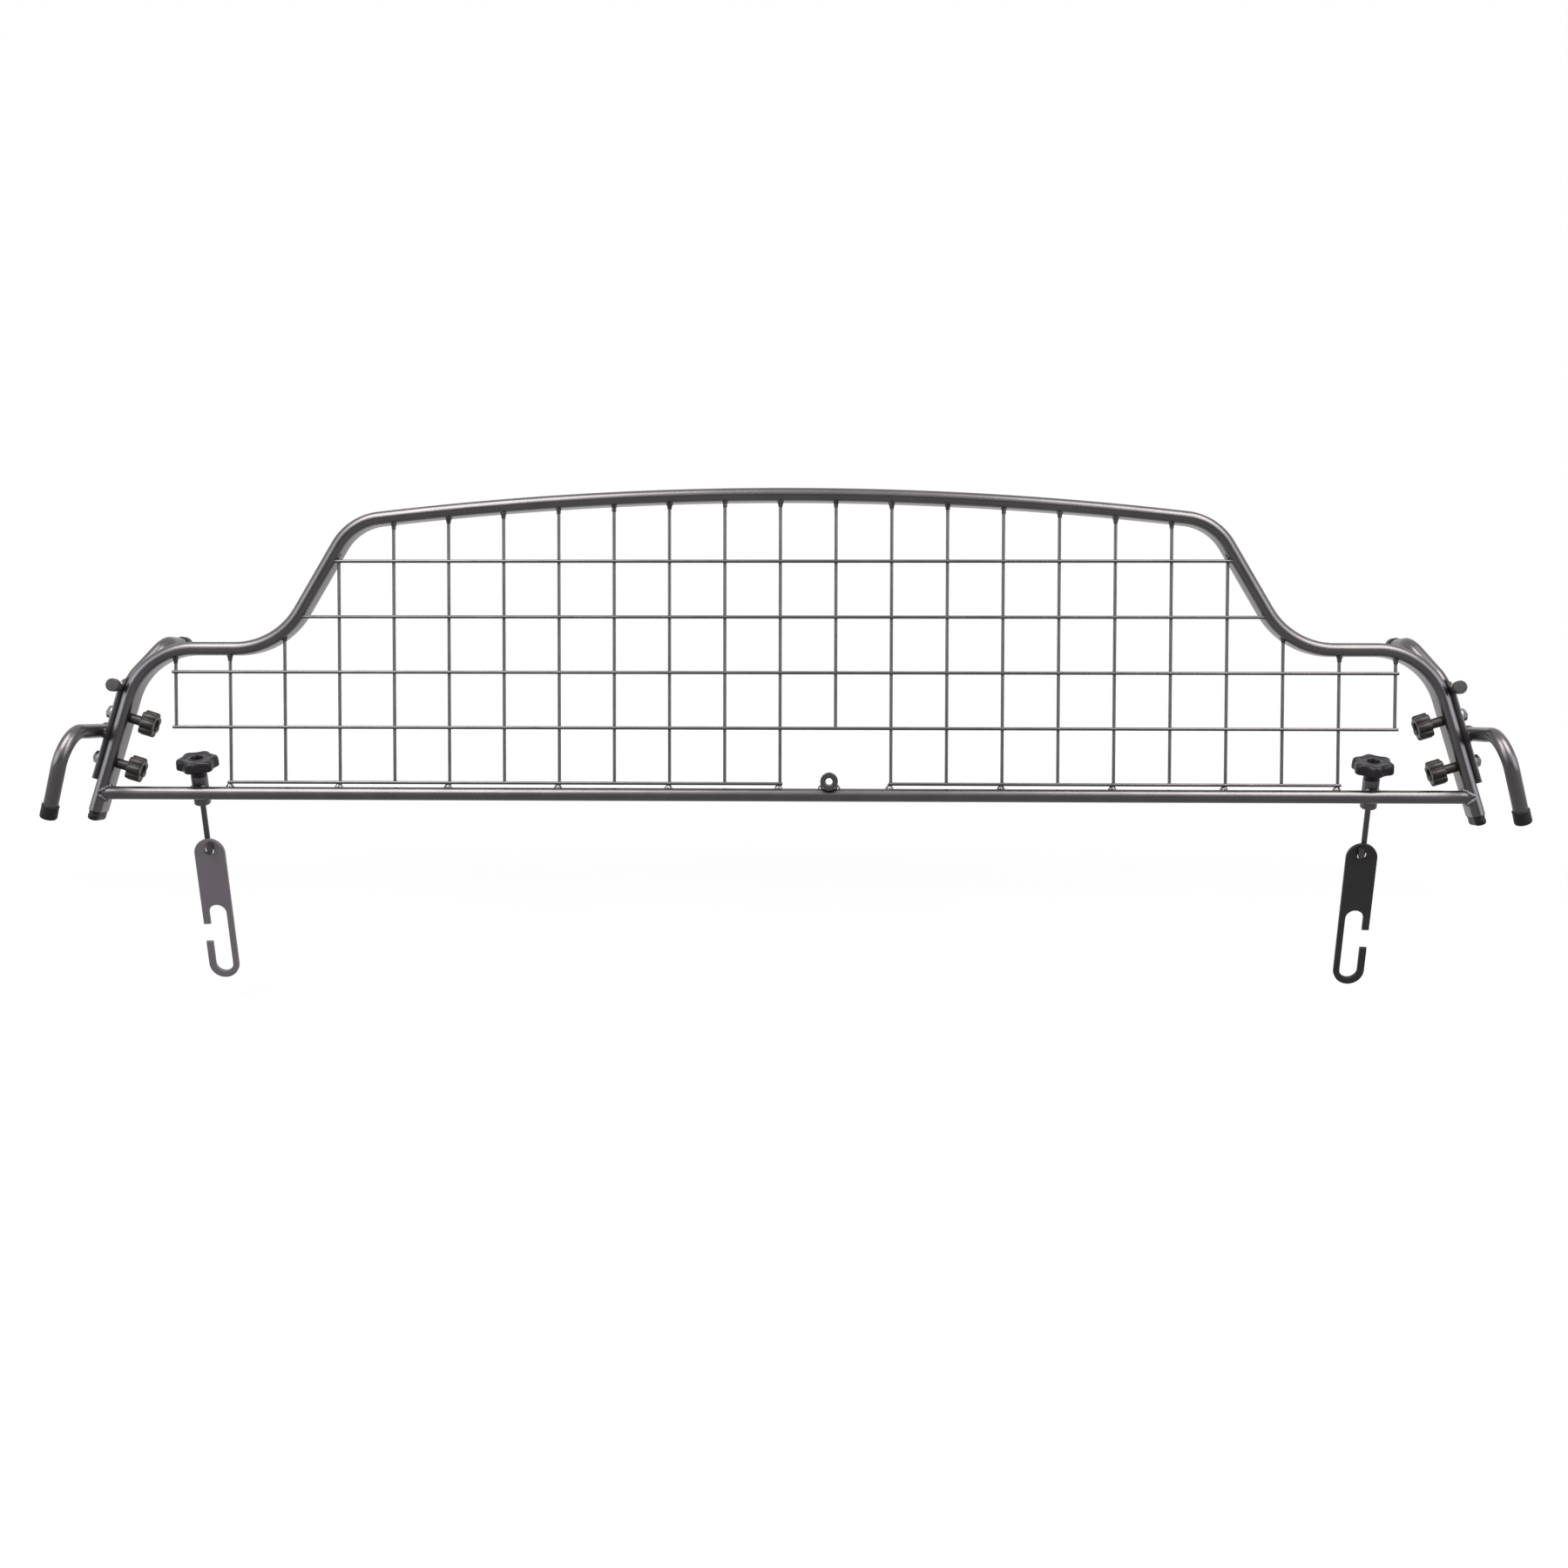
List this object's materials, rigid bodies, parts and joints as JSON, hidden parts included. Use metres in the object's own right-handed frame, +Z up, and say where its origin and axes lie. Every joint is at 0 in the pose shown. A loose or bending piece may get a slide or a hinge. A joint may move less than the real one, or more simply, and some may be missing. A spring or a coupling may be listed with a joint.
{
  "type": "car dog guard",
  "caption": "Tubular luggage-space dog guard with a wire mesh, side brackets with bent arms and hooks that handwheels pull tight.",
  "frame": {"origin": "middle of the crossbar's axis, which lies on the top of the seat back", "axes": "+X to the right along the crossbar, +Y away from the viewer, +Z up"},
  "size_m": [1.3028, 0.1881, 0.4544],
  "materials": {
    "coated_steel": "metallic silver-grey coating, semi-gloss",
    "coated_wire": "silver-grey coating",
    "zinc_steel": "zinc plated",
    "black_plastic": "fine grained",
    "black_rubber": "matt"
  },
  "bodies": {
    "frame": {"hoop_tube": "coated_steel", "crossbar": "coated_steel", "mesh_vertical_wires": "coated_wire", "mesh_horizontal_wires": "coated_wire", "divider_boss": "coated_steel", "left_foot_cap": "black_plastic", "left_tension_sleeve": "coated_steel", "left_clamp_washers": "zinc_steel", "left_clamp_nuts": "zinc_steel", "right_foot_cap": "black_plastic", "right_tension_sleeve": "coated_steel", "right_clamp_washers": "zinc_steel", "right_clamp_nuts": "zinc_steel"},
    "left_bracket": {"left_bracket_plate": "coated_steel", "left_bracket_pad": "black_rubber", "left_lower_arm": "coated_steel", "left_lower_arm_front_cap": "black_plastic", "left_lower_arm_rear_cap": "black_plastic", "left_upper_arm": "coated_steel", "left_upper_arm_cap": "black_plastic", "left_stop_peg": "coated_steel", "left_stop_peg_cap": "black_plastic"},
    "left_handwheel": {"left_handwheel": "black_plastic", "left_handwheel_insert": "zinc_steel"},
    "left_hook_rod": {"left_hook_rod": "zinc_steel"},
    "left_hook": {"left_hook_plate": "zinc_steel"},
    "left_lower_bolt": {"left_lower_bolt": "zinc_steel"},
    "left_lower_knob": {"left_lower_knob": "black_plastic"},
    "left_upper_bolt": {"left_upper_bolt": "zinc_steel"},
    "left_upper_knob": {"left_upper_knob": "black_plastic"},
    "right_bracket": {"right_bracket_plate": "coated_steel", "right_bracket_pad": "black_rubber", "right_lower_arm": "coated_steel", "right_lower_arm_front_cap": "black_plastic", "right_lower_arm_rear_cap": "black_plastic", "right_upper_arm": "coated_steel", "right_upper_arm_cap": "black_plastic", "right_stop_peg": "coated_steel", "right_stop_peg_cap": "black_plastic"},
    "right_handwheel": {"right_handwheel": "black_plastic", "right_handwheel_insert": "zinc_steel"},
    "right_hook_rod": {"right_hook_rod": "zinc_steel"},
    "right_hook": {"right_hook_plate": "zinc_steel"},
    "right_lower_bolt": {"right_lower_bolt": "zinc_steel"},
    "right_lower_knob": {"right_lower_knob": "black_plastic"},
    "right_upper_bolt": {"right_upper_bolt": "zinc_steel"},
    "right_upper_knob": {"right_upper_knob": "black_plastic"}
  },
  "joints": [
    {"name": "left_wheel_turn", "type": "hinge", "parent": "frame", "child": "left_handwheel", "pos_m": [-0.532, 0.01269, 0.00462], "axis": [0, -0.342, 0.9397], "range_deg": [-7200, 3600]},
    {"name": "left_rod_travel", "type": "slide", "parent": "frame", "child": "left_hook_rod", "axis": [0, -0.342, 0.9397], "range_m": [-0.01, 0.02]},
    {"name": "left_hook_swing", "type": "hinge", "parent": "left_hook_rod", "child": "left_hook", "pos_m": [-0.52983, 0.02921, -0.05439], "axis": [0, -0.9397, -0.342], "range_deg": [-60, 90]},
    {"name": "left_bracket_slide", "type": "slide", "parent": "frame", "child": "left_bracket", "axis": [0.2924, 0, 0.9563], "range_m": [-0.005, 0.005]},
    {"name": "left_lower_bolt_travel", "type": "slide", "parent": "frame", "child": "left_lower_bolt", "axis": [0.9563, 0, -0.2924], "range_m": [0, 0.002]},
    {"name": "left_lower_knob_turn", "type": "hinge", "parent": "left_lower_bolt", "child": "left_lower_knob", "pos_m": [-0.61123, 0.005, 0.02869], "axis": [0.9563, 0, -0.2924], "range_deg": [0, 720]},
    {"name": "left_upper_bolt_travel", "type": "slide", "parent": "frame", "child": "left_upper_bolt", "axis": [0.9563, 0, -0.2924], "range_m": [0, 0.002]},
    {"name": "left_upper_knob_turn", "type": "hinge", "parent": "left_upper_bolt", "child": "left_upper_knob", "pos_m": [-0.59866, 0.005, 0.06981], "axis": [0.9563, 0, -0.2924], "range_deg": [0, 720]},
    {"name": "right_wheel_turn", "type": "hinge", "parent": "frame", "child": "right_handwheel", "pos_m": [0.532, 0.01269, 0.00462], "axis": [0, -0.342, 0.9397], "range_deg": [-7200, 3600]},
    {"name": "right_rod_travel", "type": "slide", "parent": "frame", "child": "right_hook_rod", "axis": [0, -0.342, 0.9397], "range_m": [-0.01, 0.02]},
    {"name": "right_hook_swing", "type": "hinge", "parent": "right_hook_rod", "child": "right_hook", "pos_m": [0.52983, 0.02921, -0.05439], "axis": [0, 0.9397, 0.342], "range_deg": [-60, 90]},
    {"name": "right_bracket_slide", "type": "slide", "parent": "frame", "child": "right_bracket", "axis": [-0.2924, 0, 0.9563], "range_m": [-0.005, 0.005]},
    {"name": "right_lower_bolt_travel", "type": "slide", "parent": "frame", "child": "right_lower_bolt", "axis": [-0.9563, 0, -0.2924], "range_m": [0, 0.002]},
    {"name": "right_lower_knob_turn", "type": "hinge", "parent": "right_lower_bolt", "child": "right_lower_knob", "pos_m": [0.61123, 0.005, 0.02869], "axis": [-0.9563, 0, -0.2924], "range_deg": [0, 720]},
    {"name": "right_upper_bolt_travel", "type": "slide", "parent": "frame", "child": "right_upper_bolt", "axis": [-0.9563, 0, -0.2924], "range_m": [0, 0.002]},
    {"name": "right_upper_knob_turn", "type": "hinge", "parent": "right_upper_bolt", "child": "right_upper_knob", "pos_m": [0.59866, 0.005, 0.06981], "axis": [-0.9563, 0, -0.2924], "range_deg": [0, 720]}
  ],
  "couplings": [
    {"joint": "left_wheel_turn", "follows": "left_rod_travel", "rad_per_m": -6283.2},
    {"joint": "left_lower_knob_turn", "follows": "left_lower_bolt_travel", "rad_per_m": 6283.2},
    {"joint": "left_upper_knob_turn", "follows": "left_upper_bolt_travel", "rad_per_m": 6283.2},
    {"joint": "right_wheel_turn", "follows": "right_rod_travel", "rad_per_m": -6283.2},
    {"joint": "right_lower_knob_turn", "follows": "right_lower_bolt_travel", "rad_per_m": 6283.2},
    {"joint": "right_upper_knob_turn", "follows": "right_upper_bolt_travel", "rad_per_m": 6283.2}
  ]
}
